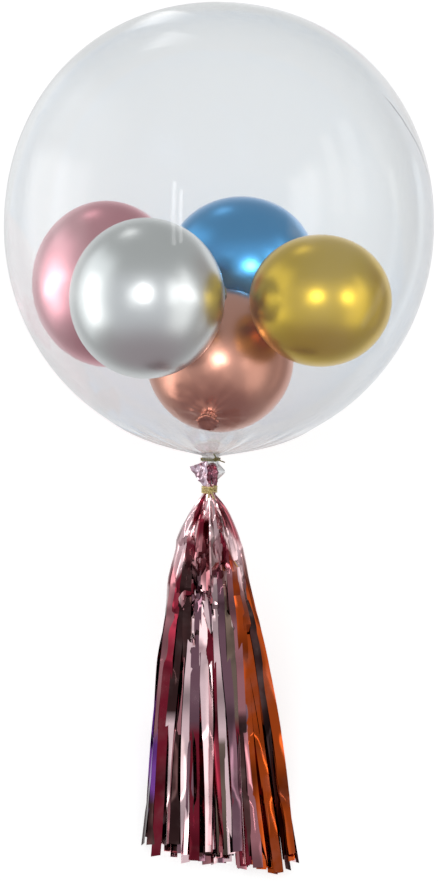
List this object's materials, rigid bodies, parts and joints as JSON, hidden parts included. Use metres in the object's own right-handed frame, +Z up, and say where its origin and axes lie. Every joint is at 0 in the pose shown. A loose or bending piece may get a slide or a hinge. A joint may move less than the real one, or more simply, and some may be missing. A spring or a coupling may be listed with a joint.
{
  "type": "clear bubble balloon with foil tassel",
  "caption": "Round clear film balloon with small chrome-finish balloons sealed inside and a rose-gold foil tassel tied to its neck, lying on its side.",
  "frame": {"origin": "middle of the small flat spot that the film balloon rests on", "axes": "+Z up from the resting surface, -Y towards the neck and tassel, +X to the right seen from above with the tassel below"},
  "size_m": [0.3591, 0.6976, 0.3593],
  "materials": {
    "clear_film": "gloss, clear",
    "rose_foil": "mirror, tinted foil",
    "gold_wire": "satin",
    "latex_pink": "chrome-effect latex",
    "latex_silver": "chrome-effect latex",
    "latex_blue": "chrome-effect latex",
    "latex_gold": "chrome-effect latex",
    "latex_rose": "chrome-effect latex"
  },
  "bodies": {
    "root": {"bubble": "clear_film", "neck_tie": "gold_wire", "foil_tassel": "rose_foil", "tassel_tie": "gold_wire"}
  },
  "joints": []
}
